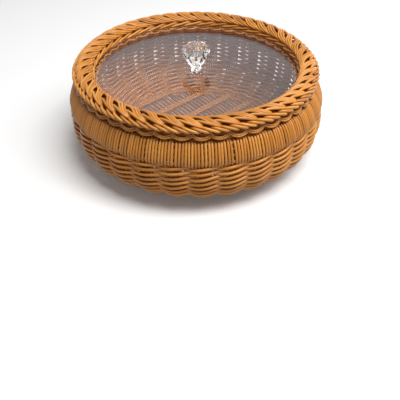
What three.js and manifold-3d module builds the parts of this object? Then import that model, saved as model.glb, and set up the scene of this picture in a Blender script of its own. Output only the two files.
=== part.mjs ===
// A round basket woven from plastic rattan rods, with a clear lift-off lid and a faceted knob.
// Millimetres, +Z up. The origin is the middle of the base, on the surface that the basket stands on.
import * as THREE from "three";
import { ConvexGeometry } from "three/addons/geometries/ConvexGeometry.js";
import { mergeVertices } from "three/addons/utils/BufferGeometryUtils.js";
import Module from "manifold-3d";

// Gaps
const FIT = 0.3; // between pieces that lie against each other
const LID_CLEARANCE = 1; // all round the lid, inside the border

// Wall: the line that the stakes follow, from the base edge past the belly to the neck
const FOOT_RADIUS = 98;
const BELLY_RADIUS = 135.9;
const BELLY_HEIGHT = 47;
const NECK_RADIUS = 121.5;
const NECK_HEIGHT = 86;
const LOWER_FULLNESS = 2.75; // powers of the two curves that meet at the belly
const UPPER_FULLNESS = 2;

// Base mat
const BASE_THICKNESS = 4;
const BASE_PLATE = 2.4;
const RIB_PITCH = 30;
const RIB_WIDTH = 8;
const RIB_OFFSET = 3.3; // of the rib nearest the middle
const RIB_DIRECTION = 46; // degrees from +X
const BASE_SEGMENTS = 60;

// Stakes
const STAKE_COUNT = 30; // an even number, so that every row closes
const STAKE_WIDTH = 3.6;
const STAKE_THICKNESS = 2;
const STAKE_TIP = 3; // straight end above the neck
const STAKE_STEPS = 7;

// Weavers: rods with a three-edged section, one edge facing out
const ROD_RADIUS = 1.4;
const SLANT_ROOM = 0.7; // for a rod's slant across the width of a stake
const ROW_COUNT = 13; // pairs of rods on the lower wall, fewer where the wall is too short for them
const FIRST_ROW = 8; // up the wall from the foot
const SHOULDER_ROD_COUNT = 4; // behind the shoulder band

// Shoulder band
const BAND_WIDTH = 20.7; // up the wall
const BAND_CLEARANCE = 0.4; // down the wall, from the loops under the rim to the band's upper edge
const BAND_PANELS = 3;
const STRANDS_PER_BAY = 9;
const STRAND_THICKNESS = 2.6;
const STRAND_GROOVE = 1.3;
const BAND_SLACK = 0.4; // behind the band
const BAND_STEPS = 2;

// Border: three rope rings and two rings of loops
const STROKE_COUNT = 45;
const STEPS_PER_STROKE = 2;
const PLAIT_RADIUS = 7;
const PLAIT_INSET = 1.5; // inwards from the neck
const OUTER_ROPE_RADIUS = 3;
const OUTER_ROPE_DIRECTION = -35; // degrees above the horizontal, seen from the plait
const INNER_ROPE_RADIUS = 2.6;
const INNER_ROPE_DIRECTION = 220;
const UNDER_LOOP_DIRECTION = -50; // seen from the outer rope
const UNDER_LOOP_DROP = 2.2;
const LEDGE_DIRECTION = 225; // seen from the inner rope
const LEDGE_REACH = 2.6; // inwards, under the lid

// Lid
const LID_THICKNESS = 3;
const LID_EDGE = 0.6; // chamfer
const LID_SEGMENTS = 72;

// Knob, heights above the lid
const KNOB_RADIUS = 15.2;
const KNOB_SIDES = 8;
const KNOB_HEIGHT = 26.8;
const TABLE_RADIUS = 8.8;
const CROWN_RADIUS = 12.6;
const CROWN_HEIGHT = 25.2;
const GIRDLE_TOP = 22.4;
const GIRDLE_BOTTOM = 17;
const PAVILION_RADIUS = 10.6;
const PAVILION_HEIGHT = 10.2;
const NECKLET_RADIUS = 4.8; // the narrow end of the stone, on the foot
const KNOB_FOOT_RADIUS = 5.4;
const KNOB_FOOT_HEIGHT = 2.9;

// Screw and washer
const SCREW_RADIUS = 1.9;
const SCREW_DEPTH = 9; // into the knob
const BORE_POINT = 1.1; // drill point at the end of the knob's bore
const SCREW_HEAD_RADIUS = 3.7;
const SCREW_FACE_RADIUS = 2; // flat middle of the domed head
const SCREW_HEAD_HEIGHT = 2.4;
const SCREW_DOME = 0.9;
const WASHER_RADIUS = 6;
const WASHER_THICKNESS = 1;
const SMALL_SEGMENTS = 24;

const wasm = await Module();
wasm.setup();

const MERGE_DISTANCE = 1e-4; // points closer than this are one point
const HALVINGS = 40;

function plastic(color, roughness, opacity = 1) {
  const transparent = opacity < 1;
  return new THREE.MeshStandardMaterial({ color, roughness, metalness: 0, opacity, transparent });
}

const rattan = plastic(0xc98538, 0.42);
const shadedRattan = plastic(0xa8682f, 0.5);
const clearSheet = plastic(0xdcdce4, 0.06, 0.35);
const clearStone = plastic(0xf4f4f6, 0.03, 0.4);
const steel = new THREE.MeshStandardMaterial({ color: 0xb9b9b6, roughness: 0.3, metalness: 1 });

const radians = THREE.MathUtils.degToRad;
const FULL_TURN = 2 * Math.PI;

// Solids from points and triangles

// A geometry from merged points and triangles, with its faces turned outwards.
function closedSolid(positions, triangles) {
  const geometry = new THREE.BufferGeometry();
  geometry.setAttribute("position", new THREE.Float32BufferAttribute(positions, 3));
  let volume = 0;
  const corners = [new THREE.Vector3(), new THREE.Vector3(), new THREE.Vector3()];
  for (let i = 0; i < triangles.length; i += 3) {
    corners.forEach((corner, k) => corner.fromArray(positions, 3 * triangles[i + k]));
    volume += corners[0].dot(corners[1].cross(corners[2]));
  }
  geometry.setIndex(volume < 0 ? triangles.toReversed() : triangles);
  geometry.computeVertexNormals();
  return geometry;
}

// Any closed three.js geometry with shared points merged and its faces turned outwards.
function tidySolid(geometry) {
  const bare = geometry.clone();
  bare.deleteAttribute("normal");
  bare.deleteAttribute("uv");
  const merged = mergeVertices(bare, MERGE_DISTANCE);
  const positions = [...merged.getAttribute("position").array];
  const index = [...merged.index.array];
  const triangles = [];
  for (let i = 0; i < index.length; i += 3) {
    const [a, b, c] = index.slice(i, i + 3);
    if (a !== b && b !== c && c !== a) triangles.push(a, b, c);
  }
  return closedSolid(positions, triangles);
}

function toManifold(geometry) {
  const solid = tidySolid(geometry);
  return new wasm.Manifold(
    new wasm.Mesh({
      numProp: 3,
      vertProperties: solid.getAttribute("position").array,
      triVerts: new Uint32Array(solid.index.array),
    }),
  );
}

function fromManifold(manifold) {
  const mesh = manifold.getMesh();
  return closedSolid([...mesh.vertProperties], [...mesh.triVerts]);
}

// Joins rings of points into a skin, with each four-sided patch folded along its shorter diagonal. A loop
// joins its last ring to its first, `shift` points further on, and a bar is closed by flat ends.
function loft(rings, { loop, shift = 0 }) {
  const count = rings[0].length;
  const points = rings.flat();
  const triangles = [];
  const joints = loop ? rings.length : rings.length - 1;
  for (let i = 0; i < joints; i++) {
    const next = (i + 1) % rings.length;
    const turn = next === 0 ? shift : 0;
    for (let k = 0; k < count; k++) {
      const here = [i * count + k, i * count + ((k + 1) % count)];
      const there = [next * count + ((k + turn) % count), next * count + ((k + 1 + turn) % count)];
      const rising = points[here[0]].distanceTo(points[there[1]]);
      const falling = points[here[1]].distanceTo(points[there[0]]);
      if (rising <= falling + MERGE_DISTANCE) {
        triangles.push(here[0], here[1], there[1], here[0], there[1], there[0]);
      } else {
        triangles.push(here[0], here[1], there[0], here[1], there[1], there[0]);
      }
    }
  }
  if (!loop) {
    const end = (rings.length - 1) * count;
    for (let k = 1; k < count - 1; k++) {
      triangles.push(0, k + 1, k);
      triangles.push(end, end + k, end + k + 1);
    }
  }
  const positions = points.flatMap((point) => point.toArray());
  return closedSolid(positions, triangles);
}

// A solid of revolution about Z from its outline in radius and height.
function revolve(outline, segments) {
  const points = outline.map(([radius, height]) => new THREE.Vector2(radius, height));
  return tidySolid(new THREE.LatheGeometry(points, segments).rotateX(Math.PI / 2));
}

// The point at an angle round the Z axis, from its radius and height.
function turned(angle, place) {
  return new THREE.Vector3(place.x * Math.cos(angle), place.x * Math.sin(angle), place.y);
}

// A regular polygon round a centre in radius and height, set at an angle round Z.
function polygonSection(angle, centre, radius, sides, start) {
  const points = [];
  for (let k = 0; k < sides; k++) {
    const direction = start + (FULL_TURN * k) / sides;
    const corner = new THREE.Vector2(
      centre.x + radius * Math.cos(direction),
      centre.y + radius * Math.sin(direction),
    );
    points.push(turned(angle, corner));
  }
  return points;
}

// The point that lies in a direction from a centre, in radius and height.
function beside(centre, distance, degrees) {
  const step = new THREE.Vector2(Math.cos(radians(degrees)), Math.sin(radians(degrees)));
  return centre.clone().addScaledVector(step, distance);
}

// The wall's line

const FOOT_HEIGHT = BASE_THICKNESS / 2;

function wallRadius(height) {
  if (height < BELLY_HEIGHT) {
    const below = (BELLY_HEIGHT - height) / (BELLY_HEIGHT - FOOT_HEIGHT);
    return BELLY_RADIUS - (BELLY_RADIUS - FOOT_RADIUS) * below ** LOWER_FULLNESS;
  }
  const above = (height - BELLY_HEIGHT) / (NECK_HEIGHT - BELLY_HEIGHT);
  return BELLY_RADIUS - (BELLY_RADIUS - NECK_RADIUS) * above ** UPPER_FULLNESS;
}

class WallLine extends THREE.Curve {
  getPoint(share, target = new THREE.Vector2()) {
    const height = THREE.MathUtils.lerp(FOOT_HEIGHT, NECK_HEIGHT, share);
    return target.set(wallRadius(height), height);
  }
}

const wallLine = new WallLine();
const wallLength = wallLine.getLength();

// The wall at a distance up its line, and the direction out of it, in radius and height.
function wallAt(along) {
  const share = THREE.MathUtils.clamp(along / wallLength, 0, 1);
  const slope = wallLine.getTangentAt(share);
  return { place: wallLine.getPointAt(share), out: new THREE.Vector2(slope.y, -slope.x) };
}

function wallPoint(along, outwards) {
  const { place, out } = wallAt(along);
  return place.addScaledVector(out, outwards);
}

const stakeAngle = (stake) => (FULL_TURN * stake) / STAKE_COUNT;

// Where a rod's middle runs in front of a stake and behind it. The rod's flat side faces a stake that it
// passes in front of, and its edge faces one that it passes behind.
const ROD_EDGES = 3;
const ROD_FLAT = ROD_RADIUS * Math.cos(Math.PI / ROD_EDGES);
const STAKE_FACE = STAKE_THICKNESS / 2 + FIT + SLANT_ROOM;
const FRONT_OF_STAKE = STAKE_FACE + ROD_FLAT;
const BEHIND_STAKE = -STAKE_FACE - ROD_RADIUS;
const WEAVE_FRONT = FRONT_OF_STAKE + ROD_RADIUS;

// Basket pieces

// The mat of the base: a flat plate with cross ribs, cut to a disc just inside the stakes' feet.
function baseMat() {
  const radius = FOOT_RADIUS - FIT;
  const plate = new THREE.CylinderGeometry(radius, radius, BASE_PLATE, BASE_SEGMENTS);
  plate.rotateX(Math.PI / 2).translate(0, 0, BASE_PLATE / 2);
  const blank = new THREE.CylinderGeometry(radius, radius, BASE_THICKNESS, BASE_SEGMENTS);
  blank.rotateX(Math.PI / 2).translate(0, 0, BASE_THICKNESS / 2);
  let mat = toManifold(plate);
  const reach = radius - RIB_WIDTH;
  const firstRib = Math.ceil((-reach - RIB_OFFSET) / RIB_PITCH);
  const lastRib = Math.floor((reach - RIB_OFFSET) / RIB_PITCH);
  for (let rib = firstRib; rib <= lastRib; rib++) {
    const bar = new THREE.BoxGeometry(2 * radius, RIB_WIDTH, BASE_THICKNESS);
    bar.translate(0, RIB_OFFSET + rib * RIB_PITCH, BASE_THICKNESS / 2).rotateZ(radians(RIB_DIRECTION));
    mat = mat.add(toManifold(bar).intersect(toManifold(blank)));
  }
  return fromManifold(mat);
}

// One stake: a flat bar that follows the wall and ends straight under the border's plait.
function stake(number) {
  const angle = stakeAngle(number);
  const side = new THREE.Vector3(-Math.sin(angle), Math.cos(angle), 0);
  const rings = [];
  const addRing = (place, out) => {
    const inner = turned(angle, place.clone().addScaledVector(out, -STAKE_THICKNESS / 2));
    const outer = turned(angle, place.clone().addScaledVector(out, STAKE_THICKNESS / 2));
    const left = -STAKE_WIDTH / 2;
    const right = STAKE_WIDTH / 2;
    rings.push([
      inner.clone().addScaledVector(side, left),
      outer.clone().addScaledVector(side, left),
      outer.clone().addScaledVector(side, right),
      inner.clone().addScaledVector(side, right),
    ]);
  };
  addRing(wallPoint(0, 0), new THREE.Vector2(0, -1));
  for (let step = 1; step <= STAKE_STEPS; step++) {
    const { place, out } = wallAt((wallLength * step) / STAKE_STEPS);
    addRing(place, out);
  }
  addRing(new THREE.Vector2(NECK_RADIUS, NECK_HEIGHT + STAKE_TIP), new THREE.Vector2(1, 0));
  return loft(rings, { loop: false });
}

// A rod's section at a stake, in front of it or behind it.
function rodSection(stakeNumber, along, inFront) {
  const outwards = inFront ? FRONT_OF_STAKE : BEHIND_STAKE;
  const { out } = wallAt(along);
  const facing = Math.atan2(out.y, out.x);
  return polygonSection(stakeAngle(stakeNumber), wallPoint(along, outwards), ROD_RADIUS, ROD_EDGES, facing);
}

// Where the border's rings lie

const plait = {
  centre: new THREE.Vector2(NECK_RADIUS - PLAIT_INSET, NECK_HEIGHT + STAKE_TIP + FIT + PLAIT_RADIUS),
  radius: PLAIT_RADIUS,
  sides: 4,
  lay: -1, // strokes move outwards over the top as they go round
  start: radians(OUTER_ROPE_DIRECTION),
};
const outerRope = {
  centre: beside(plait.centre, PLAIT_RADIUS + FIT + OUTER_ROPE_RADIUS, OUTER_ROPE_DIRECTION),
  radius: OUTER_ROPE_RADIUS,
  sides: 3,
  lay: -1,
  start: radians(OUTER_ROPE_DIRECTION + 180),
};
const innerRope = {
  centre: beside(plait.centre, PLAIT_RADIUS + FIT + INNER_ROPE_RADIUS, INNER_ROPE_DIRECTION),
  radius: INNER_ROPE_RADIUS,
  sides: 3,
  lay: 1, // strokes go down the inside as they go round
  start: radians(INNER_ROPE_DIRECTION + 180),
};

// The middle of a loop's seat on a rope.
function loopSeat(rope, direction) {
  return beside(rope.centre, rope.radius + FIT + ROD_RADIUS, direction);
}

const underLoopReach = new THREE.Vector2(0, -UNDER_LOOP_DROP);
const underLoopMiddle = loopSeat(outerRope, UNDER_LOOP_DIRECTION).add(underLoopReach);

// How far up the wall's line a point beside it lies, found by halving.
function alongWall(point) {
  let low = 0;
  let high = wallLength;
  for (let halving = 0; halving < HALVINGS; halving++) {
    const middle = (low + high) / 2;
    const share = middle / wallLength;
    const rest = point.clone().sub(wallLine.getPointAt(share));
    if (rest.dot(wallLine.getTangentAt(share)) > 0) low = middle;
    else high = middle;
  }
  return low;
}

// The shoulder band hangs under the loops. The rows of the lower wall are spread evenly from the first row to
// the last one under the band's edge, and the two turns of a row need room to pass each other between stakes.
const BAND_START = alongWall(underLoopMiddle) - ROD_RADIUS - BAND_CLEARANCE - BAND_WIDTH;
const ROD_SPREAD = 2 * ROD_RADIUS * Math.sin(Math.PI / ROD_EDGES);
const CLOSEST_PITCH = 2 * (ROD_SPREAD + FIT);
const rowRoom = BAND_START - FIRST_ROW;
const rowCount = Math.min(ROW_COUNT, Math.floor(rowRoom / CLOSEST_PITCH + 0.5));
const ROW_PITCH = rowRoom / (rowCount - 0.5);
const SHOULDER_ROD_PITCH = BAND_WIDTH / SHOULDER_ROD_COUNT;

// One row of the lower wall: a rod that goes round twice, over the stakes that it passed behind before.
function weaverRow(row) {
  const middle = FIRST_ROW + row * ROW_PITCH;
  const rings = [];
  for (let pass = 0; pass < 2 * STAKE_COUNT; pass++) {
    const secondTurn = pass >= STAKE_COUNT;
    const along = middle + (secondTurn ? -ROW_PITCH / 4 : ROW_PITCH / 4);
    const inFront = (pass % 2 === 0) !== secondTurn;
    rings.push(rodSection(pass % STAKE_COUNT, along, inFront));
  }
  return loft(rings, { loop: true });
}

// One rod of the shoulder, behind the band: over one stake and under the next.
function shoulderRod(row) {
  const along = BAND_START + SHOULDER_ROD_PITCH * (row + 0.5);
  const rings = [];
  for (let pass = 0; pass < STAKE_COUNT; pass++) {
    rings.push(rodSection(pass, along, (pass + row) % 2 === 0));
  }
  return loft(rings, { loop: true });
}

// One panel of the shoulder band: upright strands side by side, with a groove between each two.
function bandPanel(panel) {
  const bays = STAKE_COUNT / BAND_PANELS;
  const back = WEAVE_FRONT + FIT + BAND_SLACK;
  const strands = bays * STRANDS_PER_BAY;
  const columns = 2 * strands;
  const firstAngle = stakeAngle(panel * bays);
  const endGap = FIT / 2 / BELLY_RADIUS;
  const span = stakeAngle(bays) - 2 * endGap;
  const positions = [];
  const triangles = [];
  const addPoint = (angle, step, outwards) => {
    const along = BAND_START + (BAND_WIDTH * step) / BAND_STEPS;
    positions.push(...turned(angle, wallPoint(along, outwards)).toArray());
    return positions.length / 3 - 1;
  };
  const front = [];
  for (let column = 0; column <= columns; column++) {
    const angle = firstAngle + endGap + (span * column) / columns;
    const atGroove = column % 2 === 0;
    const thickness = atGroove ? STRAND_THICKNESS - STRAND_GROOVE : STRAND_THICKNESS;
    const points = [];
    for (let step = 0; step <= BAND_STEPS; step++) points.push(addPoint(angle, step, back + thickness));
    front.push(points);
  }
  const rear = [];
  for (let bay = 0; bay <= bays; bay++) {
    const angle = firstAngle + endGap + (span * bay) / bays;
    const points = [];
    for (let step = 0; step <= BAND_STEPS; step++) points.push(addPoint(angle, step, back));
    rear.push(points);
  }
  const addSheet = (sheet, flip) => {
    for (let i = 0; i < sheet.length - 1; i++) {
      for (let step = 0; step < BAND_STEPS; step++) {
        const corners = [sheet[i][step], sheet[i + 1][step], sheet[i + 1][step + 1], sheet[i][step + 1]];
        if (flip) corners.reverse();
        triangles.push(corners[0], corners[1], corners[2], corners[0], corners[2], corners[3]);
      }
    }
  };
  addSheet(front, false);
  addSheet(rear, true);
  addSheet([rear[0], front[0]], false);
  addSheet([front[columns], rear[bays]], false);
  const perBay = columns / bays;
  for (const step of [0, BAND_STEPS]) {
    const addFace = (a, b, c) => triangles.push(...(step === 0 ? [a, b, c] : [c, b, a]));
    for (let bay = 0; bay < bays; bay++) {
      const half = perBay / 2;
      for (let k = 0; k < perBay; k++) {
        const column = bay * perBay + k;
        const corner = k < half ? rear[bay][step] : rear[bay + 1][step];
        addFace(corner, front[column + 1][step], front[column][step]);
      }
      addFace(rear[bay][step], rear[bay + 1][step], front[bay * perBay + half][step]);
    }
  }
  return closedSolid(positions, triangles);
}

// Border

// A closed rope ring: a polygon section that turns as it goes round, so that its edges lie as slanting
// strokes.
function ropeRing({ centre, radius, sides, lay, start }) {
  const steps = STROKE_COUNT * STEPS_PER_STROKE;
  const rings = [];
  for (let i = 0; i < steps; i++) {
    const angle = (FULL_TURN * i) / steps;
    rings.push(polygonSection(angle, centre, radius, sides, start + (lay * STROKE_COUNT * angle) / sides));
  }
  const shift = ((lay * STROKE_COUNT) % sides) + sides;
  return loft(rings, { loop: true, shift: shift % sides });
}

// The angle round Z at which an edge of a rope faces a direction, in degrees above the horizontal.
function edgeAngle({ sides, lay, start }, degrees) {
  return ((radians(degrees) - start) * sides) / (lay * STROKE_COUNT);
}

// A ring of loops: a rod that goes from each stroke's seat to the middle of the loop and back.
function loopRing(rope, direction, reach, edgeUp) {
  const seat = loopSeat(rope, direction);
  const middle = seat.clone().add(reach);
  const firstSeat = edgeAngle(rope, direction);
  const rings = [];
  for (let i = 0; i < 2 * STROKE_COUNT; i++) {
    const angle = firstSeat + (FULL_TURN * i) / (2 * STROKE_COUNT);
    rings.push(polygonSection(angle, i % 2 === 0 ? seat : middle, ROD_RADIUS, ROD_EDGES, edgeUp));
  }
  return loft(rings, { loop: true });
}

const underLoops = () => loopRing(outerRope, UNDER_LOOP_DIRECTION, underLoopReach, 0);
const ledgeLoops = () =>
  loopRing(innerRope, LEDGE_DIRECTION, new THREE.Vector2(-LEDGE_REACH, 0), Math.PI / 2);

// Lid

const ledgeSeat = loopSeat(innerRope, LEDGE_DIRECTION);
const LID_RADIUS = innerRope.centre.x - INNER_ROPE_RADIUS - LID_CLEARANCE;
const LID_BOTTOM = ledgeSeat.y + ROD_RADIUS + FIT;
const LID_TOP = LID_BOTTOM + LID_THICKNESS;
const BORE_RADIUS = SCREW_RADIUS + FIT;
const KNOB_SEAT = LID_TOP + FIT;

function lidPanel() {
  return revolve(
    [
      [BORE_RADIUS, LID_BOTTOM],
      [LID_RADIUS - LID_EDGE, LID_BOTTOM],
      [LID_RADIUS, LID_BOTTOM + LID_EDGE],
      [LID_RADIUS, LID_TOP - LID_EDGE],
      [LID_RADIUS - LID_EDGE, LID_TOP],
      [BORE_RADIUS, LID_TOP],
      [BORE_RADIUS, LID_BOTTOM],
    ],
    LID_SEGMENTS,
  );
}

function ringOfPoints(count, radius, height, shift = 0) {
  const points = [];
  for (let k = 0; k < count; k++) {
    points.push(turned((FULL_TURN * (k + shift)) / count, new THREE.Vector2(radius, height)));
  }
  return points;
}

// The knob: a cut stone, with a flat table above its girdle and a tapered pavilion below, on a round foot.
function lidKnob() {
  const stone = new ConvexGeometry([
    ...ringOfPoints(KNOB_SIDES, TABLE_RADIUS, KNOB_HEIGHT),
    ...ringOfPoints(KNOB_SIDES, CROWN_RADIUS, CROWN_HEIGHT, 0.5),
    ...ringOfPoints(2 * KNOB_SIDES, KNOB_RADIUS, GIRDLE_TOP),
    ...ringOfPoints(2 * KNOB_SIDES, KNOB_RADIUS, GIRDLE_BOTTOM),
    ...ringOfPoints(KNOB_SIDES, PAVILION_RADIUS, PAVILION_HEIGHT, 0.5),
    ...ringOfPoints(KNOB_SIDES, NECKLET_RADIUS, KNOB_FOOT_HEIGHT / 2),
  ]);
  const foot = revolve(
    [
      [0, 0],
      [KNOB_FOOT_RADIUS, 0],
      [KNOB_FOOT_RADIUS, KNOB_FOOT_HEIGHT],
      [0, KNOB_FOOT_HEIGHT],
    ],
    SMALL_SEGMENTS,
  );
  const boreDepth = SCREW_DEPTH + FIT;
  const bore = revolve(
    [
      [0, -FIT],
      [BORE_RADIUS, -FIT],
      [BORE_RADIUS, boreDepth],
      [0, boreDepth + BORE_POINT],
    ],
    SMALL_SEGMENTS,
  );
  const knob = toManifold(stone).add(toManifold(foot)).subtract(toManifold(bore));
  return fromManifold(knob).translate(0, 0, KNOB_SEAT);
}

const WASHER_TOP = LID_BOTTOM - FIT;
const WASHER_BOTTOM = WASHER_TOP - WASHER_THICKNESS;
const HEAD_TOP = WASHER_BOTTOM - FIT;

function screwWasher() {
  return revolve(
    [
      [BORE_RADIUS, WASHER_BOTTOM],
      [WASHER_RADIUS, WASHER_BOTTOM],
      [WASHER_RADIUS, WASHER_TOP],
      [BORE_RADIUS, WASHER_TOP],
      [BORE_RADIUS, WASHER_BOTTOM],
    ],
    SMALL_SEGMENTS,
  );
}

function knobScrew() {
  const headBottom = HEAD_TOP - SCREW_HEAD_HEIGHT;
  return revolve(
    [
      [0, headBottom],
      [SCREW_FACE_RADIUS, headBottom],
      [SCREW_HEAD_RADIUS, headBottom + SCREW_DOME],
      [SCREW_HEAD_RADIUS, HEAD_TOP],
      [SCREW_RADIUS, HEAD_TOP],
      [SCREW_RADIUS, KNOB_SEAT + SCREW_DEPTH],
      [0, KNOB_SEAT + SCREW_DEPTH],
    ],
    SMALL_SEGMENTS,
  );
}

// Assembly

function piece(name, geometry, material) {
  const mesh = new THREE.Mesh(geometry, material);
  mesh.name = name;
  return mesh;
}

function numbered(name, number) {
  return `${name}_${String(number + 1).padStart(2, "0")}`;
}

const basket = new THREE.Group();
basket.add(piece("base_mat", baseMat(), shadedRattan));
for (let i = 0; i < STAKE_COUNT; i++) {
  basket.add(piece(numbered("stake", i), stake(i), shadedRattan));
}
for (let i = 0; i < rowCount; i++) {
  basket.add(piece(numbered("weaver_row", i), weaverRow(i), rattan));
}
for (let i = 0; i < SHOULDER_ROD_COUNT; i++) {
  basket.add(piece(numbered("shoulder_rod", i), shoulderRod(i), shadedRattan));
}
for (let i = 0; i < BAND_PANELS; i++) {
  basket.add(piece(numbered("shoulder_band", i), bandPanel(i), rattan));
}
basket.add(piece("border_plait", ropeRing(plait), rattan));
basket.add(piece("border_outer_row", ropeRing(outerRope), rattan));
basket.add(piece("border_inner_row", ropeRing(innerRope), rattan));
basket.add(piece("under_rim_loops", underLoops(), rattan));
basket.add(piece("lid_ledge_loops", ledgeLoops(), rattan));

const lid = new THREE.Group();
lid.add(piece("lid_panel", lidPanel(), clearSheet));
lid.add(piece("lid_knob", lidKnob(), clearStone));
lid.add(piece("knob_screw", knobScrew(), steel));
lid.add(piece("screw_washer", screwWasher(), steel));

const group = new THREE.Group();
group.add(basket, lid);

export default group;
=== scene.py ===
"""A round basket woven from plastic rattan rods, with a clear lift-off lid and a faceted knob.

Sizes are in millimetres here and become metres when a mesh is made, apart from the camera, the lamps and the
floor, which are in metres. Angles are in degrees. The frame is the CAD model's: +Z up, with the origin in the
middle of the base.
"""
import math

import bmesh
import bpy
import numpy as np
from mathutils import Matrix, Vector


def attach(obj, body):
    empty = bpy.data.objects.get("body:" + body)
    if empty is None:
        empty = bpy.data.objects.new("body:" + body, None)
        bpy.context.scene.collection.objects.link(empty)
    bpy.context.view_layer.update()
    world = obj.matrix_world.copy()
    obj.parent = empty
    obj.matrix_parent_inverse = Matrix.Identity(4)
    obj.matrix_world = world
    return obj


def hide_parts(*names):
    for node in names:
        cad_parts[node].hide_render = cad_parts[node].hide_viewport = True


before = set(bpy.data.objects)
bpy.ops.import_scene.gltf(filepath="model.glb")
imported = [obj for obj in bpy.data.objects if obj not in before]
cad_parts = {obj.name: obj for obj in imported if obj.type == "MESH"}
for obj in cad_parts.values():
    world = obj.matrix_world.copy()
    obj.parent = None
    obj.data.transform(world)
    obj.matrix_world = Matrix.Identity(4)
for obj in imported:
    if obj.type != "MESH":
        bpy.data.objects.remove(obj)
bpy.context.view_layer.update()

MM = 0.001
SEED = 7
RANDOM = np.random.default_rng(SEED)

# Wall line, as in the CAD model
FOOT_RADIUS = 98.0
FOOT_HEIGHT = 2.0
BELLY_RADIUS = 135.9
BELLY_HEIGHT = 47.0
NECK_RADIUS = 121.5
NECK_HEIGHT = 86.0
LOWER_FULLNESS = 2.75
UPPER_FULLNESS = 2.0
LINE_STEPS = 600

# Every rod. The sizes of rods and strands are radii.
ROD_SIDES = 8
ROD_END = 0.6  # of the rod's radius, left at its ends
GRAIN_LENGTH = 10.0  # millimetres of rod to one unit of its streaks
GRAIN_APART = 50.0  # units, within which each rod's streaks start somewhere
ROD_UV = "Rod"
ROD_TINT = "tint"

# Weaver rows, each of two rods twined round the stakes
STAKES = 30
STAKE_PITCH = 360 / STAKES
ROWS = 13
FIRST_ROW = 8.0
SHOULDER_ROWS = 5
SHOULDER_NODES = 4  # the upper rows share the last one
WEAVER = 1.55
WEAVE_SWING = 3.0
WEAVE_RISE = 1.4
WEAVE_WOBBLE = 0.25
WEAVE_WOBBLES = 60  # round a row
WEAVE_STEPS = 10  # from stake to stake

# Stakes, each a bundle of rods
STAKE_RODS = 5
STAKE_ROD = 1.35
STAKE_ROD_PITCH = 2.9
STAKE_ROD_SIDES = 6
STAKE_TUCK = (-6.0, -3.0)  # places before the wall's line, where the rods lie in the base
STAKE_START = 0.5
STAKE_DIP = 0.5  # of the bend at the foot, below the base's rods
STAKE_TIP = 5.0  # past the neck, in the border
STAKE_STEPS = 34

# Shoulder band of upright strands
BAND_DROP = 8.4
BAND_WIDTH = 20.7
BAND_PANELS = 3
STRANDS_PER_BAY = 9
STRAND = 1.32
STRAND_GAP = 0.3  # degrees without strands at each stake
STRAND_LEAN = 0.12  # degrees, at a strand's ends
STRAND_STRAY = 0.06  # degrees
STRAND_UNEVEN = 0.12  # in or out
STRAND_KNOTS = [  # distance up from the band's start, and out of the wall's line
    (-2.2, -2.0),
    (-0.7, 0.4),
    (0.7, 2.7),
    (2.4, 4.3),
    (5.2, 5.3),
    (12.0, 5.3),
    (17.0, 5.2),
    (20.5, 4.7),
    (22.8, 3.2),
    (24.4, 0.8),
]

# Border: strokes lie on an oval round the rim's core, which is named by angle: 0 out, 90 up, 180 in
STROKES = 45
FIRST_STROKE = 0.4
STROKE_STRAY = 0.15  # degrees
STROKE_UNEVEN = 0.12  # in or out
RIM_RADIUS = 120.7
RIM_HEIGHT = 94.9
RIM_HALF_WIDTH = 9.3
RIM_HALF_HEIGHT = 7.1
RIM_MEAN = (RIM_HALF_WIDTH + RIM_HALF_HEIGHT) / 2

# Plait: each stroke is three rods that arch over the rim, and a single rod below them. The middle one of the
# three starts lower, in the groove inside. Knots of the border give degrees round the rim, the oval's angle,
# the height above the oval, and how much of their spacing rods side by side keep.
PLAIT_ROD = 1.22
PLAIT_ROD_PITCH = 2.4
SINGLE_ROD = 1.35
MIDDLE_STEPS = 44
SIDE_STEPS = 38
SINGLE_STEPS = 28
ARCH_KNOTS = [
    (-0.4, 136, 1.0, 0.8),
    (1.5, 127, 1.2, 0.95),
    (3.2, 114, 1.2, 0.98),
    (4.7, 97, 1.0, 0.9),
    (6.2, 78, 0.9, 0.8),
    (7.5, 65, 0.7, 0.7),
    (8.8, 56, 0.2, 0.6),
    (10.0, 49, -0.9, 0.5),
    (11.0, 43, -3.2, 0.4),
]
MIDDLE_START = [
    (-12.4, 168, -5.0, 1),
    (-10.8, 165, -2.8, 1),
    (-8.8, 161, -1.0, 1),
    (-6.6, 156, 0.2, 1),
    (-4.4, 150, 0.9, 1),
    (-2.4, 143.5, 1.1, 1),
]
SIDE_START = [
    (-6.8, 157, -4.0, 0.5),
    (-5.2, 152.5, -1.6, 0.55),
    (-3.5, 147, 0.2, 0.6),
    (-1.9, 141.5, 0.8, 0.7),
]
SINGLE_KNOTS = [
    (-2.6, 80, -3.2, 1),
    (-1.2, 80, -1.6, 1),
    (0.2, 79, 0.0, 1),
    (1.8, 76, 0.8, 1),
    (3.4, 70, 0.9, 1),
    (5.2, 62, 0.8, 1),
    (7.0, 54, 0.6, 1),
    (8.6, 47, 0.1, 1),
    (9.9, 41, -1.0, 1),
    (10.9, 36, -3.0, 1),
]

# Core: dark rods round the rim, under the strokes and in the corner behind the outer row. Their darkness is
# painted shade: they take a darker copy of the rattan, which stands in for the shade of the groove and of
# that corner.
CORE_ROD = 1.7
CORE_RODS = 8
CORE_DEPTH = -4.9
CORE_STEPS = 90
# The fillers are dark rods that fill the hollows behind the strokes, painted shade where there is only shade.
CORE_FILLERS = [(120.7, 88.6), (120.7, 91.2), (124.4, 87.8), (126.8, 89.8)]  # radius and height

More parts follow.
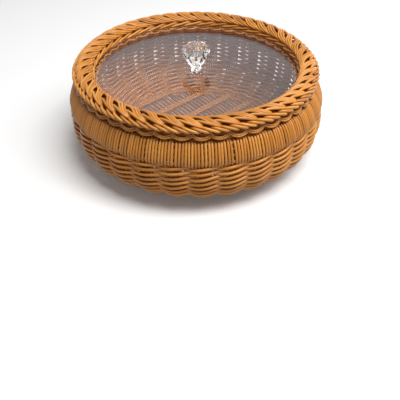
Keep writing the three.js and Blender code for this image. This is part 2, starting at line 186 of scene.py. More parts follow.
# Rows of strokes outside and inside the plait
OUTER_STROKES = 2 * STROKES
OUTER_ROD = 1.45
OUTER_STRAY = 0.12  # degrees
OUTER_STEPS = 20
OUTER_KNOTS = [
    (-1.6, 36, -3.4, 1),
    (-0.6, 32, -1.2, 1),
    (0.6, 26, 0.5, 1),
    (2.2, 18, 1.1, 1),
    (3.8, 10, 1.2, 1),
    (5.0, 3, 0.7, 1),
    (6.0, -3, -0.9, 1),
    (6.8, -8, -3.0, 1),
]
INNER_ROD = 1.35
INNER_STEPS = 20
INNER_KNOTS = [
    (-2.0, 174, -4.2, 1),
    (-0.2, 178, -1.9, 1),
    (2.4, 184, 0.2, 1),
    (5.8, 194, 1.0, 1),
    (9.2, 203, 1.3, 1),
    (12.0, 211, 1.0, 1),
    (13.8, 220, -1.5, 1),
]

# Loops under the rim: each hangs from the outer row, and its far end goes behind the next one. Knots of loops
# give degrees round the rim, radius and height.
LOOP_ROD = 0.95
LOOP_SHIFT = 2.3
LOOP_RODS = [(0.0, 1.0), (1.75, 0.84)]  # lift, and share of the width
LOOP_TILT = 0.25  # inwards for each millimetre of lift
LOOP_STEPS = 22
LOOP_KNOTS = [
    (-4.4, 126.6, 91.3),
    (-3.3, 128.6, 89.4),
    (-1.8, 129.9, 87.7),
    (0.0, 130.5, 86.9),
    (1.8, 130.1, 87.0),
    (3.4, 129.0, 87.8),
    (4.8, 127.5, 89.1),
    (5.8, 126.0, 90.5),
]

# Ledge loops inside, on which the lid lies
LEDGE_ROD = 1.25
LEDGE_RODS = [(0.0, 0.0), (2.4, 0.9)]  # drop, and distance outwards
LEDGE_STEPS = 16
LEDGE_KNOTS = [
    (-4.6, 112.5, 87.6),
    (-3.4, 110.4, 87.0),
    (-1.8, 108.0, 86.8),
    (0.0, 106.9, 86.8),
    (1.8, 108.0, 86.8),
    (3.4, 110.4, 86.4),
    (4.6, 112.5, 86.0),
]

# Base: spaced rods over a lower layer of rods, bound by ribs of strands laid side by side
BASE_RADIUS = 97.0
BASE_HEIGHT = 4.0
BASE_ROD = 1.3
BASE_ROD_PITCH = 5.55
BASE_ROD_DIRECTION = -52.0
BASE_ROD_STEPS = 30
BASE_SWAY = 0.2
BASE_SWAYS = 8  # along a rod
BASE_SINK = 2.4  # of the lower rods, which lie under the gaps
BASE_SHORTEST = 8.0  # half of the length below which a rod is left out
BASE_RINGS = (2.5, 5.2)  # places on the wall's line of the rods round the base
BASE_RING_INSET = 2.6
BASE_RING_STEPS = 120
RIB_PITCH = 30.0
RIB_OFFSET = 3.3
RIB_DIRECTION = 46.0
RIB_STRANDS = 4
RIB_STRAND = 1.1
RIB_STRAND_PITCH = 2.05
RIB_LIFT = 1.9  # of the strands' middles above the rods' middles
RIB_WAVE = 0.35  # up over each rod and down between rods
RIB_STEPS = 6  # from rod to rod
RIB_TINTS = (0.8, 1.0)

# Lid
LID_RADIUS = 108.8
LID_BOTTOM = 88.6
LID_TOP = 91.6
LID_BORE = 2.2
LID_EDGE = 0.5
LID_EDGE_CUT = 0.3  # how far the rounded edge lies in from its corner, as a share of its radius
LID_SEGMENTS = 192
LID_SHARP = 30.0

# Knob: the CAD stone, turned and cut finer. Heights are above the lid.
KNOB_TURN = 22.5
GIRDLE_TOP = 22.4
GIRDLE_BOTTOM = 17.0
GIRDLE_NEAR = 1.5  # within which a corner belongs to an edge of the girdle
GIRDLE_TOP_DROP = 2.6
POINT_PITCH = 45.0  # from point to point of the girdle's lower edge
POINT_DROP = 2.4
NOTCH_RISE = 1.0
FACET_WELD = 0.001  # within which corners are one
FACET_FLAT = 1.0  # degrees within which facets are one
FACET_EDGE = 8.0  # degrees from which an edge is broken
FACET_BEVEL = 0.2

# Looks of the materials
STREAK_STRETCH = (0.5, 7.0, 1.0)  # along a rod and around it
STREAK_SCALE = 2.2
STREAK_DETAIL = 5.0
STREAK_DEPTH = 0.0003  # metres
STREAK_STRENGTH = 0.25
SLOW_SCALE = 0.35
SLOW_DETAIL = 2.0
TINT_WEIGHT = 0.5
PATTERN_WEIGHT = 0.35
TONE_STOPS = (0.15, 0.55, 1.0)
SATIN_BELOW = 0.08
SATIN_ABOVE = 0.1
WEAR_DETAIL = 4.0
WEAR_RANGE = (0.35, 0.75)
WEAR_SHARES = (0.5, 1.5)  # of the roughness
STEEL_SCALE = 900.0
STEEL_DETAIL = 3.0
STEEL_STOPS = (0.3, 0.7)
STEEL_ROUGHNESS = (0.22, 0.42)

# Camera, at the photo's viewing angle. Image places are in pixels of a 400 pixel square.
IMAGE = 400
CAMERA_TURN = -87.0
CAMERA_RISE = 30.83
CAMERA_DISTANCE = 0.64
CAMERA_TARGET = Vector((0, 0, 0.05))
TARGET_AT = (196.3, 101.3)
FOCAL = 554.0
SENSOR = 36.0

# Surroundings
WHITE = (1, 1, 1, 1)
AMBIENT = 0.16
FLOOR_REACH = 1.1
FLOOR_LIT = (0.42, 0.42, 0.42, 1)  # as the object sees it
FLOOR_SEEN = (0.9, 0.9, 0.9, 1)
FLOOR_GLOW = 0.08


# Paths

def spread(values, count):
    """Points on a smooth curve through rows of values, evenly by their number."""
    values = np.asarray(values, float)
    at = np.linspace(0, len(values) - 1, count)
    slopes = np.gradient(values, axis=0)
    low = np.clip(np.floor(at).astype(int), 0, len(values) - 2)
    t = (at - low)[:, None]
    h00 = 2 * t**3 - 3 * t**2 + 1
    h10 = t**3 - 2 * t**2 + t
    h01 = -2 * t**3 + 3 * t**2
    h11 = t**3 - t**2
    return h00 * values[low] + h10 * slopes[low] + h01 * values[low + 1] + h11 * slopes[low + 1]


def polar(degrees, radius, height):
    angle = np.radians(degrees)
    return np.stack(np.broadcast_arrays(radius * np.cos(angle), radius * np.sin(angle), height), -1)


def all_round(steps):
    return 360 * np.arange(steps) / steps


def wall_radius(height):
    below = np.clip((BELLY_HEIGHT - height) / (BELLY_HEIGHT - FOOT_HEIGHT), 0, None)
    above = np.clip((height - BELLY_HEIGHT) / (NECK_HEIGHT - BELLY_HEIGHT), 0, None)
    lower = (BELLY_RADIUS - FOOT_RADIUS) * below**LOWER_FULLNESS
    upper = (BELLY_RADIUS - NECK_RADIUS) * above**UPPER_FULLNESS
    return BELLY_RADIUS - lower - upper


line_heights = np.linspace(FOOT_HEIGHT, NECK_HEIGHT, LINE_STEPS)
line_radii = wall_radius(line_heights)
line_steps = np.hypot(np.diff(line_radii), np.diff(line_heights))
line_along = np.concatenate([[0], np.cumsum(line_steps)])
wall_length = line_along[-1]
line_slope_radius = np.gradient(line_radii, line_along)
line_slope_height = np.gradient(line_heights, line_along)

band_start = wall_length - BAND_DROP - BAND_WIDTH
row_pitch = (band_start - FIRST_ROW) / (ROWS - 0.5)  # the last row lies half a pitch below the band
shoulder_pitch = (wall_length - band_start) / SHOULDER_ROWS
basket_middle = np.array([0, 0, RIM_HEIGHT / 2])


def wall(along, outwards):
    """Radius and height of points at distances up the wall's line and out of it."""
    along = np.asarray(along, float)
    slope_radius = np.interp(along, line_along, line_slope_radius)
    slope_height = np.interp(along, line_along, line_slope_height)
    past = np.maximum(along - wall_length, 0) + np.minimum(along, 0)
    radius = np.interp(along, line_along, line_radii) + past * slope_radius + outwards * slope_height
    height = np.interp(along, line_along, line_heights) + past * slope_height - outwards * slope_radius
    return radius, height


def wall_path(degrees, along, outwards):
    radius, height = wall(along, outwards)
    return polar(degrees, radius, height)


def rim(theta, depth):
    """Radius and height of points on the rim's oval, or above it by depth."""
    angle = np.radians(theta)
    radius = RIM_RADIUS + (RIM_HALF_WIDTH + depth) * np.cos(angle)
    height = RIM_HEIGHT + (RIM_HALF_HEIGHT + depth) * np.sin(angle)
    return radius, height


# Meshes

def new_object(name, data):
    made = bpy.data.objects.new(name, data)
    bpy.context.collection.objects.link(made)
    return made


def place(name, mesh, node, material, body):
    """Puts a piece into the scene, on its body and in place of its CAD node."""
    piece = new_object(name, mesh)
    mesh.materials.append(material)
    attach(piece, body)
    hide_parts(node)


def unit(vectors):
    return vectors / np.linalg.norm(vectors, axis=1, keepdims=True)


class Rods:
    """Rods gathered into one mesh.

    Each is a closed tube with a tint of its own. Its length and girth are its UV.
    """

    def __init__(self):
        self.points = []
        self.quads = []
        self.quad_uvs = []
        self.ends = []
        self.tints = []
        self.count = 0

    def add(self, path, radius, loop=False, sides=ROD_SIDES, facing=None, tint=None):
        """Adds a rod along a path. Its first corner faces out of the basket, or where facing says."""
        path = np.asarray(path, float)
        number = len(path)
        if facing is None:
            facing = path - basket_middle
        if loop:
            tangent = unit(np.roll(path, -1, 0) - np.roll(path, 1, 0))
        else:
            tangent = unit(np.gradient(path, axis=0))
        normal = unit(facing - (facing * tangent).sum(1, keepdims=True) * tangent)
        side = np.cross(tangent, normal)
        girth = np.full(number, float(radius))
        if not loop:
            girth[[0, -1]] *= ROD_END
        turn = 2 * np.pi * np.arange(sides) / sides
        around = np.cos(turn)[None, :, None] * normal[:, None] + np.sin(turn)[None, :, None] * side[:, None]
        ring = path[:, None] + girth[:, None, None] * around
        lengths = np.linalg.norm(np.diff(path, axis=0, append=path[:1]), axis=1)
        reach = np.concatenate([[0], np.cumsum(lengths)]) / GRAIN_LENGTH + RANDOM.uniform(0, GRAIN_APART)
        own_tint = RANDOM.uniform(0, 1) if tint is None else tint
        self.add_quads(number, sides, loop, reach)
        if not loop:
            self.ends.append(self.count + np.arange(sides)[::-1])
            self.ends.append(self.count + (number - 1) * sides + np.arange(sides))
        self.points.append(ring.reshape(-1, 3))
        self.tints.append(np.full(number * sides, own_tint))
        self.count += number * sides

    def add_quads(self, number, sides, loop, reach):
        """Joins each ring of a rod's points to the next one."""
        row = np.arange(number if loop else number - 1)
        here = self.count + row[:, None] * sides
        ahead = self.count + ((row + 1) % number)[:, None] * sides
        corner = np.arange(sides)[None]
        following = (corner + 1) % sides
        quads = [here + corner, here + following, ahead + following, ahead + corner]
        self.quads.append(np.stack(quads, -1).reshape(-1, 4))
        shape = (len(row), sides)
        low = np.broadcast_to(reach[row][:, None], shape)
        high = np.broadcast_to(reach[row + 1][:, None], shape)
        v_low = np.broadcast_to(corner / sides, shape)
        v_high = v_low + 1 / sides
        corners = [np.stack([low, v_low], -1), np.stack([low, v_high], -1)]
        corners += [np.stack([high, v_high], -1), np.stack([high, v_low], -1)]
        self.quad_uvs.append(np.stack(corners, -2).reshape(-1, 2))

    def build(self, name, node, material, slot):
        points = np.concatenate(self.points) * MM
        quads = np.concatenate(self.quads)
        loops = [quads.ravel()] + self.ends
        sizes = [4] * len(quads) + [len(end) for end in self.ends]
        starts = np.concatenate([[0], np.cumsum(sizes)[:-1]])
        corner_total = int(sum(sizes))
        uvs = np.zeros((corner_total, 2))
        uvs[: 4 * len(quads)] = np.concatenate(self.quad_uvs)
        mesh = bpy.data.meshes.new(name)
        mesh.vertices.add(len(points))
        mesh.vertices.foreach_set("co", points.ravel())
        mesh.loops.add(corner_total)
        mesh.loops.foreach_set("vertex_index", np.concatenate(loops).astype(np.int32))
        mesh.polygons.add(len(sizes))
        mesh.polygons.foreach_set("loop_start", starts.astype(np.int32))
        mesh.update(calc_edges=True)
        mesh.polygons.foreach_set("use_smooth", np.ones(len(sizes), bool))
        layer = mesh.uv_layers.new(name=ROD_UV)
        layer.data.foreach_set("uv", uvs.ravel())
        tint = mesh.attributes.new(ROD_TINT, "FLOAT", "POINT")
        tint.data.foreach_set("value", np.concatenate(self.tints))
        mesh.validate()
        place(name, mesh, node, material, "basket")


# Materials

def new_material(name):
    material = bpy.data.materials.new(name)
    material.use_nodes = True
    tree = material.node_tree
    return material, tree, tree.nodes["Principled BSDF"]


def add_node(tree, kind, **settings):
    node = tree.nodes.new(kind)
    for key, value in settings.items():
        setattr(node, key, value)
    return node


def noise(tree, vector, scale, detail):
    node = add_node(tree, "ShaderNodeTexNoise")
    node.inputs["Scale"].default_value = scale
    node.inputs["Detail"].default_value = detail
    tree.links.new(vector, node.inputs["Vector"])
    return node.outputs["Fac"]


def between(tree, value, low, high, within=(0.0, 1.0)):
    """Maps a value within a range onto the range from low to high."""
    node = add_node(tree, "ShaderNodeMapRange")
    node.inputs["From Min"].default_value = within[0]
    node.inputs["From Max"].default_value = within[1]
    node.inputs["To Min"].default_value = low
    node.inputs["To Max"].default_value = high
    tree.links.new(value, node.inputs["Value"])
    return node.outputs["Result"]


def combine(tree, operation, first, second):
    """Works out a socket's value with another socket's or with a number."""
    node = add_node(tree, "ShaderNodeMath", operation=operation)
    tree.links.new(first, node.inputs[0])
    if isinstance(second, float):
        node.inputs[1].default_value = second
    else:
        tree.links.new(second, node.inputs[1])
    return node.outputs[0]


def mix_shaders(tree, share, first, second):
    node = add_node(tree, "ShaderNodeMixShader")
    tree.links.new(share, node.inputs["Fac"])
    tree.links.new(first, node.inputs[1])
    tree.links.new(second, node.inputs[2])
    return node.outputs["Shader"]


def ramp(tree, factor, stops):
    node = add_node(tree, "ShaderNodeValToRGB")
    elements = node.color_ramp.elements
    for element, (position, colour) in zip((elements[0], elements[1]), (stops[0], stops[-1])):
        element.position = position
        element.color = (*colour, 1)
    for position, colour in stops[1:-1]:
        elements.new(position).color = (*colour, 1)
    tree.links.new(factor, node.inputs["Fac"])
    return node.outputs["Color"]


def rattan(name, dark, middle, light, roughness, gleam):
    """Satin plastic rods: each has its own tone, with streaks along it and slow changes of colour."""
    material, tree, shader = new_material(name)
    link = tree.links.new
    uv = add_node(tree, "ShaderNodeUVMap", uv_map=ROD_UV).outputs["UV"]
    tint = add_node(tree, "ShaderNodeAttribute", attribute_name=ROD_TINT).outputs["Fac"]
    stretch = add_node(tree, "ShaderNodeMapping")
    stretch.inputs["Scale"].default_value = STREAK_STRETCH
    link(uv, stretch.inputs["Vector"])
    streaks = noise(tree, stretch.outputs["Vector"], STREAK_SCALE, STREAK_DETAIL)
    slow = noise(tree, uv, SLOW_SCALE, SLOW_DETAIL)
    tone = combine(tree, "MULTIPLY", tint, TINT_WEIGHT)
    for pattern in (streaks, slow):
        share = combine(tree, "MULTIPLY", pattern, PATTERN_WEIGHT)
        tone = combine(tree, "ADD", tone, share)
    stops = list(zip(TONE_STOPS, (dark, middle, light)))
    link(ramp(tree, tone, stops), shader.inputs["Base Color"])
    gloss = between(tree, streaks, roughness - SATIN_BELOW, roughness + SATIN_ABOVE)
    link(gloss, shader.inputs["Roughness"])
    shader.inputs["Specular IOR Level"].default_value = gleam
    bump = add_node(tree, "ShaderNodeBump")
    bump.inputs["Strength"].default_value = STREAK_STRENGTH
    bump.inputs["Distance"].default_value = STREAK_DEPTH
    link(streaks, bump.inputs["Height"])
    link(bump.outputs["Normal"], shader.inputs["Normal"])
    return material


def clear_plastic(name, colour, bending, haze, roughness, wear_scale):
    """Clear plastic that lamps shine through, with faint wear in its gloss."""
    material, tree, shader = new_material(name)
    link = tree.links.new
    shader.inputs["Base Color"].default_value = (*colour, 1)
    shader.inputs["Transmission Weight"].default_value = 1 - haze
    shader.inputs["IOR"].default_value = bending
    at = add_node(tree, "ShaderNodeTexCoord").outputs["Object"]
    wear = noise(tree, at, wear_scale, WEAR_DETAIL)
    low, high = WEAR_SHARES
    gloss = between(tree, wear, roughness * low, roughness * high, within=WEAR_RANGE)
    link(gloss, shader.inputs["Roughness"])
    path = add_node(tree, "ShaderNodeLightPath")
    lit = combine(tree, "MAXIMUM", path.outputs["Is Shadow Ray"], path.outputs["Is Diffuse Ray"])
    through = add_node(tree, "ShaderNodeBsdfTransparent")
    through.inputs["Color"].default_value = (*colour, 1)
    mixed = mix_shaders(tree, lit, shader.outputs["BSDF"], through.outputs["BSDF"])
    link(mixed, tree.nodes["Material Output"].inputs["Surface"])
    return material


def plated_steel(name, dark, light):
    material, tree, shader = new_material(name)
    link = tree.links.new
    shader.inputs["Metallic"].default_value = 1.0
    at = add_node(tree, "ShaderNodeTexCoord").outputs["Object"]
    grain = noise(tree, at, STEEL_SCALE, STEEL_DETAIL)
    stops = list(zip(STEEL_STOPS, (dark, light)))
    link(ramp(tree, grain, stops), shader.inputs["Base Color"])
    link(between(tree, grain, *STEEL_ROUGHNESS), shader.inputs["Roughness"])
    return material


honey = rattan(
    "honey_rattan",
    dark=(0.38, 0.13, 0.014),
    middle=(0.60, 0.235, 0.032),
    light=(0.76, 0.34, 0.065),
    roughness=0.33,
    gleam=0.45,
)
# A darker copy of the honey rattan, whose tones are painted shade. It goes on parts that sit in half shade:
# the shoulder rows behind the strands and the base inside the basket.
half_shade = rattan(
    "half_shade_rattan",
    dark=(0.28, 0.10, 0.02),
    middle=(0.44, 0.17, 0.037),
    light=(0.56, 0.25, 0.066),
    roughness=0.42,
    gleam=0.3,
)
# The darkest copy of the rattan, whose tones are painted deep shade. It is for the core rods in the rim's
# groove and behind the outer row.
shade = rattan(
    "deep_shade_rattan",
    dark=(0.20, 0.065, 0.01),
    middle=(0.30, 0.10, 0.016),
    light=(0.40, 0.14, 0.025),
    roughness=0.6,
    gleam=0.1,
)
sheet = clear_plastic(
    "clear_sheet",
    colour=(0.88, 0.86, 0.87),
    bending=1.34,
    haze=0.01,
    roughness=0.015,
    wear_scale=60.0,
)
stone = clear_plastic(
    "clear_knob",
    colour=(0.97, 0.97, 0.97),
    bending=1.59,
    haze=0.0,
    roughness=0.015,
    wear_scale=200.0,
)
steel = plated_steel("screw_steel", dark=(0.42, 0.41, 0.36), light=(0.66, 0.65, 0.58))


# Wall

def twined_row(along):
    """A row of two twined rods. Each passes in front of every other stake, and rises as it goes."""
    rods = Rods()
    steps = STAKES * WEAVE_STEPS
    degrees = all_round(steps)
    wave = np.radians(degrees * STAKES / 2)
    wobble = spread(RANDOM.normal(0, WEAVE_WOBBLE, (WEAVE_WOBBLES, 1)), steps)[:, 0]
    wobble *= np.sin(np.pi * np.arange(steps) / steps) ** 0.5  # none where the row closes
    for side in (1, -1):
        outwards = side * WEAVE_SWING * np.cos(wave)
        rise = side * WEAVE_RISE * np.sin(wave) + wobble
        rods.add(wall_path(degrees, along + rise, outwards), WEAVER, loop=True)
    return rods


for row in range(ROWS):
    rods = twined_row(FIRST_ROW + row * row_pitch)
    rods.build(f"twined_row_{row + 1:02d}", f"weaver_row_{row + 1:02d}", honey, "rattan")

for row in range(SHOULDER_ROWS):
    rods = twined_row(band_start + shoulder_pitch * (row + 0.5))
    node = f"shoulder_rod_{min(row + 1, SHOULDER_NODES):02d}"
    # These rows take the half-shade copy of the rattan, painted shade for their place behind the strands.
    rods.build(f"shoulder_row_{row + 1:02d}", node, half_shade, "rattan_shaded")

tuck = len(STAKE_TUCK)
stake_along = np.concatenate([STAKE_TUCK, np.linspace(STAKE_START, wall_length + STAKE_TIP, STAKE_STEPS)])
stake_radius, stake_height = wall(stake_along, 0.0)
stake_height[:tuck] = BASE_HEIGHT
stake_height[tuck] = BASE_HEIGHT - STAKE_DIP
for number in range(STAKES):
    rods = Rods()
    for rod in range(STAKE_RODS):
        shift = (rod - (STAKE_RODS - 1) / 2) * STAKE_ROD_PITCH
        degrees = number * STAKE_PITCH + np.degrees(shift / stake_radius)
        rods.add(polar(degrees, stake_radius, stake_height), STAKE_ROD, sides=STAKE_ROD_SIDES)
    rods.build(f"stake_bundle_{number + 1:02d}", f"stake_{number + 1:02d}", honey, "rattan_shaded")

strand_rise, strand_out = np.array(STRAND_KNOTS).T
strand_lean = np.linspace(-1, 1, len(STRAND_KNOTS))
bays = STAKES // BAND_PANELS
for panel in range(BAND_PANELS):
    rods = Rods()
    for bay in range(bays):
        for strand in range(STRANDS_PER_BAY):
            share = (strand + 0.5) / STRANDS_PER_BAY
            degrees = (panel * bays + bay) * STAKE_PITCH
            degrees += STRAND_GAP / 2 + share * (STAKE_PITCH - STRAND_GAP)
            lean = RANDOM.normal(0, STRAND_LEAN) * strand_lean
            outwards = strand_out + RANDOM.normal(0, STRAND_UNEVEN)
            angles = degrees + lean + RANDOM.normal(0, STRAND_STRAY)
            rods.add(wall_path(angles, band_start + strand_rise, outwards), STRAND)
    rods.build(f"shoulder_strands_{panel + 1:02d}", f"shoulder_band_{panel + 1:02d}", honey, "rattan")


# Border

def stroke_starts(count, stray):
    """Places round the rim where a row's strokes start, a little uneven."""
    for number in range(count):
        yield FIRST_STROKE + number * 360 / count + RANDOM.normal(0, stray)


def bundle(rods, start, knots, radius, steps, offsets=(0.0,)):
    """Adds rods side by side along a path on the rim."""
    degrees, theta, depth, width = spread(knots, steps).T
    along = np.radians(degrees) * RIM_RADIUS
    across = np.radians(theta) * RIM_MEAN
    step = unit(np.stack([np.gradient(along), np.gradient(across)], -1))
    for offset in offsets:
        shift = offset * width
        angle = start + degrees + np.degrees(-step[:, 1] * shift / RIM_RADIUS)
        turned = theta + np.degrees(step[:, 0] * shift / RIM_MEAN)
        rim_radius, rim_height = rim(turned, depth + RANDOM.normal(0, STROKE_UNEVEN))
        path = polar(angle, rim_radius, rim_height)
        rods.add(path, radius, facing=path - polar(angle, RIM_RADIUS, RIM_HEIGHT))


plait = Rods()
arch_sides = (-PLAIT_ROD_PITCH, PLAIT_ROD_PITCH)
for start in stroke_starts(STROKES, STROKE_STRAY):
    bundle(plait, start, MIDDLE_START + ARCH_KNOTS, PLAIT_ROD, MIDDLE_STEPS)
    bundle(plait, start, SIDE_START + ARCH_KNOTS, PLAIT_ROD, SIDE_STEPS, offsets=arch_sides)
    bundle(plait, start, SINGLE_KNOTS, SINGLE_ROD, SINGLE_STEPS)
plait.build("border_strokes", "border_plait", honey, "rattan")

core = Rods()
core_places = [rim(number * 360 / CORE_RODS, CORE_DEPTH) for number in range(CORE_RODS)]
for radius, height in core_places + CORE_FILLERS:
    core.add(polar(all_round(CORE_STEPS), radius, height), CORE_ROD, loop=True)
# The core takes the deep-shade copy of the rattan, which paints the shade in the groove and the corner.
core.build("border_core", "border_plait", shade, "rattan_shaded")

outer = Rods()
for start in stroke_starts(OUTER_STROKES, OUTER_STRAY):
    bundle(outer, start, OUTER_KNOTS, OUTER_ROD, OUTER_STEPS)
outer.build("border_outer_strokes", "border_outer_row", honey, "rattan")

inner = Rods()
for start in stroke_starts(STROKES, STROKE_STRAY):
    bundle(inner, start, INNER_KNOTS, INNER_ROD, INNER_STEPS, offsets=(-INNER_ROD, INNER_ROD))
inner.build("border_inner_strokes", "border_inner_row", honey, "rattan")

under = Rods()
for start in stroke_starts(STROKES, STROKE_STRAY):
    for lift, narrow in LOOP_RODS:
        knots = np.array(LOOP_KNOTS)
        knots[:, 0] *= narrow
        knots[:, 1] -= LOOP_TILT * lift
        knots[:, 2] += lift * np.cos(np.linspace(-1, 1, len(knots)))
        degrees, radius, height = spread(knots, LOOP_STEPS).T
        under.add(polar(start + LOOP_SHIFT + degrees, radius, height), LOOP_ROD)
under.build("rim_loops", "under_rim_loops", honey, "rattan")

ledge = Rods()
for start in stroke_starts(STROKES, STROKE_STRAY):
    for drop, back in LEDGE_RODS:
        knots = np.array(LEDGE_KNOTS)
        knots[:, 1] += back
        knots[:, 2] -= drop
        degrees, radius, height = spread(knots, LEDGE_STEPS).T
        ledge.add(polar(start + degrees, radius, height), LEDGE_ROD)
ledge.build("ledge_loops", "lid_ledge_loops", honey, "rattan_shaded")


# Base

def half_length(across):
    """Half the length of a rod at a distance from the base's middle, or 0 for one that is too short."""
    half = math.sqrt(max(BASE_RADIUS**2 - across**2, 0))
    return half if half >= BASE_SHORTEST else 0


def laid(along, across, height, direction_angle):
    """Points along a direction on the base, from distances along it and to its left."""
    angle = math.radians(direction_angle)
    x = along * math.cos(angle) - across * math.sin(angle)
    y = along * math.sin(angle) + across * math.cos(angle)
    return np.stack(np.broadcast_arrays(x, y, height), -1)


def facing_up(steps):
    return np.repeat(np.array([[0.0, 0.0, 1.0]]), steps, 0)


base = Rods()
lower = Rods()
side_rods = int(BASE_RADIUS / BASE_ROD_PITCH)
for number in range(-side_rods, side_rods + 1):
    across = number * BASE_ROD_PITCH
    half = half_length(across)
    if not half:
        continue
    along = np.linspace(-half, half, BASE_ROD_STEPS)
    sway = spread(RANDOM.normal(0, BASE_SWAY, (BASE_SWAYS, 1)), BASE_ROD_STEPS)[:, 0]
    path = laid(along, across + sway, BASE_HEIGHT, BASE_ROD_DIRECTION)
    base.add(path, BASE_ROD, facing=facing_up(BASE_ROD_STEPS))
    path = laid(along, across + BASE_ROD_PITCH / 2, BASE_HEIGHT - BASE_SINK, BASE_ROD_DIRECTION)
    lower.add(path, BASE_ROD, facing=facing_up(BASE_ROD_STEPS))
for along in BASE_RINGS:
    base.add(wall_path(all_round(BASE_RING_STEPS), along, -BASE_RING_INSET), WEAVER, loop=True)
first_rib = math.ceil((-BASE_RADIUS - RIB_OFFSET) / RIB_PITCH)
last_rib = math.floor((BASE_RADIUS - RIB_OFFSET) / RIB_PITCH)
for rib in range(first_rib, last_rib + 1):
    for strand in range(RIB_STRANDS):
        across = RIB_OFFSET + rib * RIB_PITCH + (strand - (RIB_STRANDS - 1) / 2) * RIB_STRAND_PITCH
        half = half_length(across)
        if not half:
            continue
        steps = int(2 * half / BASE_ROD_PITCH * RIB_STEPS)
        along = np.linspace(-half, half, steps)
        height = BASE_HEIGHT + RIB_LIFT + RIB_WAVE * np.cos(2 * np.pi * along / BASE_ROD_PITCH)
        path = laid(along, across, height, RIB_DIRECTION)
        base.add(path, RIB_STRAND, facing=facing_up(steps), tint=RANDOM.uniform(*RIB_TINTS))
# Both layers of the base's rods take the half-shade copy of the rattan, painted shade for the inside of the
# basket.
lower.build("base_lower_rods", "base_mat", half_shade, "rattan_shaded")
base.build("base_weave", "base_mat", half_shade, "rattan_shaded")


# Lid

def finished_mesh(name, mesh):
    data = bpy.data.meshes.new(name)
    mesh.to_mesh(data)
    mesh.free()
    return data


def lid_mesh(name):
    """A disc with a bore and rounded edges, turned from its outline."""
    cut = LID_EDGE_CUT * LID_EDGE
    edge = [(2 * LID_EDGE, 0), (LID_EDGE, 0), (cut, cut), (0, LID_EDGE)]  # in from the corner, and up or down
    outline = [(LID_BORE, LID_BOTTOM)]
    outline += [(LID_RADIUS - inwards, LID_BOTTOM + up) for inwards, up in edge]
    outline += [(LID_RADIUS - inwards, LID_TOP - down) for inwards, down in reversed(edge)]
    outline += [(LID_BORE, LID_TOP)]
    mesh = bmesh.new()
    rings = []
    for radius, height in outline:
        points = polar(all_round(LID_SEGMENTS), radius, height) * MM
        rings.append([mesh.verts.new(point) for point in points])
    for low, high in zip(rings, rings[1:] + rings[:1]):
        for here in range(LID_SEGMENTS):
            following = (here + 1) % LID_SEGMENTS
            mesh.faces.new([low[here], low[following], high[following], high[here]])
    bmesh.ops.recalc_face_normals(mesh, faces=mesh.faces)
    data = finished_mesh(name, mesh)
    data.shade_smooth()
    data.set_sharp_from_angle(angle=math.radians(LID_SHARP))
    return data


def girdle_shift(corner, seat):
    """How far a corner of the stone goes up.

    The girdle gets lower, and its lower edge gets points with notches between them.
    """
    height = (corner.z - seat) / MM
    if abs(height - GIRDLE_TOP) < GIRDLE_NEAR:
        return -GIRDLE_TOP_DROP
    if abs(height - GIRDLE_BOTTOM) < GIRDLE_NEAR:
        half_pitches = round(2 * math.degrees(math.atan2(corner.y, corner.x)) / POINT_PITCH)
        return NOTCH_RISE if half_pitches % 2 else -POINT_DROP
    return 0.0


def knob_mesh(name):
    """The CAD stone, turned, cut finer and with its edges broken."""
    mesh = bmesh.new()
    mesh.from_mesh(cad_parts["lid_knob"].data)
    bmesh.ops.remove_doubles(mesh, verts=mesh.verts, dist=FACET_WELD * MM)
    bmesh.ops.rotate(mesh, verts=mesh.verts, matrix=Matrix.Rotation(math.radians(KNOB_TURN), 3, "Z"))
    seat = min(corner.co.z for corner in mesh.verts)
    for corner in mesh.verts:
        corner.co.z += girdle_shift(corner.co, seat) * MM
    flat = math.radians(FACET_FLAT)
    bmesh.ops.dissolve_limit(mesh, angle_limit=flat, verts=mesh.verts, edges=mesh.edges)
    sharp = math.radians(FACET_EDGE)
    edges = [edge for edge in mesh.edges if edge.calc_face_angle(0) > sharp]
    width = FACET_BEVEL * MM
    bmesh.ops.bevel(mesh, geom=edges, offset=width, segments=1, affect="EDGES", clamp_overlap=True)
    return finished_mesh(name, mesh)


place("lid_sheet", lid_mesh("lid_sheet"), "lid_panel", sheet, "lid")
place("knob_stone", knob_mesh("knob_stone"), "lid_knob", stone, "lid")

for node in ("knob_screw", "screw_washer"):
    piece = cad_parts[node]
    piece.data.materials.clear()
    piece.data.materials.append(steel)


# Camera and light

def direction(azimuth, elevation):
    """A unit vector from its angles in radians."""
    level = math.cos(elevation)
    return Vector((level * math.cos(azimuth), level * math.sin(azimuth), math.sin(elevation)))


turn = math.radians(CAMERA_TURN)
towards_camera = direction(turn, math.radians(CAMERA_RISE))
# The camera doesn't roll, and it is turned so that the target falls on its place in the image.
right_of_middle = (TARGET_AT[0] - IMAGE / 2) / FOCAL
above_middle = (IMAGE / 2 - TARGET_AT[1]) / FOCAL
ray_length = math.hypot(1, right_of_middle, above_middle)
dip = math.asin(-towards_camera.z * ray_length / math.hypot(1, above_middle)) - math.atan(above_middle)
ahead = math.cos(dip) - above_middle * math.sin(dip)
heading = turn + math.pi + math.atan2(right_of_middle, ahead)
camera_data = bpy.data.cameras.new("camera")
camera_data.sensor_width = SENSOR
camera_data.lens = FOCAL / IMAGE * SENSOR
camera = new_object("camera", camera_data)
camera.location = CAMERA_TARGET + towards_camera * CAMERA_DISTANCE
camera.rotation_euler = direction(heading, dip).to_track_quat("-Z", "Y").to_euler()
bpy.context.scene.camera = camera


def lamp(name, azimuth, elevation, distance, size, power):
    data = bpy.data.lights.new(name, "AREA")
    data.size = size
    data.energy = power
    made = new_object(name, data)
    towards = direction(math.radians(azimuth), math.radians(elevation))
    made.location = towards * distance
    made.rotation_euler = towards.to_track_quat("Z", "Y").to_euler()


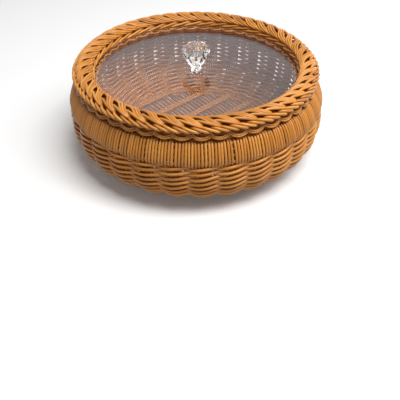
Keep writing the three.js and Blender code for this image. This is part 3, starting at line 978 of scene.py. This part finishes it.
lamp("key", azimuth=-14.0, elevation=54.0, distance=1.6, size=0.7, power=9.3)
lamp("top", azimuth=-40.0, elevation=74.0, distance=1.7, size=0.9, power=25.0)


# Floor and surroundings

def white_to_the_eye(tree, lit, seen):
    """Mixes two shaders so that the camera, reflections and glass see the second."""
    path = add_node(tree, "ShaderNodeLightPath")
    share = combine(tree, "MAXIMUM", path.outputs["Is Camera Ray"], path.outputs["Is Glossy Ray"])
    share = combine(tree, "MAXIMUM", share, path.outputs["Is Transmission Ray"])
    return mix_shaders(tree, share, lit, seen)


def diffuse(tree, colour):
    node = add_node(tree, "ShaderNodeBsdfDiffuse")
    node.inputs["Color"].default_value = colour
    return node.outputs["BSDF"]


world = bpy.data.worlds.new("world")
bpy.context.scene.world = world
world.use_nodes = True
tree = world.node_tree
ambient = tree.nodes["Background"]
ambient.inputs["Color"].default_value = WHITE
ambient.inputs["Strength"].default_value = AMBIENT
white = add_node(tree, "ShaderNodeBackground")
white.inputs["Color"].default_value = WHITE
white.inputs["Strength"].default_value = 1.0
shown = white_to_the_eye(tree, ambient.outputs["Background"], white.outputs["Background"])
tree.links.new(shown, tree.nodes["World Output"].inputs["Surface"])

floor_material, tree, shader = new_material("floor_paper")
tree.nodes.remove(shader)
glow = add_node(tree, "ShaderNodeEmission")
glow.inputs["Strength"].default_value = FLOOR_GLOW
paper = add_node(tree, "ShaderNodeAddShader")
tree.links.new(diffuse(tree, FLOOR_SEEN), paper.inputs[0])
tree.links.new(glow.outputs["Emission"], paper.inputs[1])
shown = white_to_the_eye(tree, diffuse(tree, FLOOR_LIT), paper.outputs["Shader"])
tree.links.new(shown, tree.nodes["Material Output"].inputs["Surface"])
floor_mesh = bpy.data.meshes.new("floor")
corners = [(x * FLOOR_REACH, y * FLOOR_REACH, 0) for x, y in ((-1, -1), (1, -1), (1, 1), (-1, 1))]
floor_mesh.from_pydata(corners, [], [(0, 1, 2, 3)])
floor_mesh.materials.append(floor_material)
floor = new_object("floor", floor_mesh)

bpy.context.scene.view_settings.view_transform = "Standard"
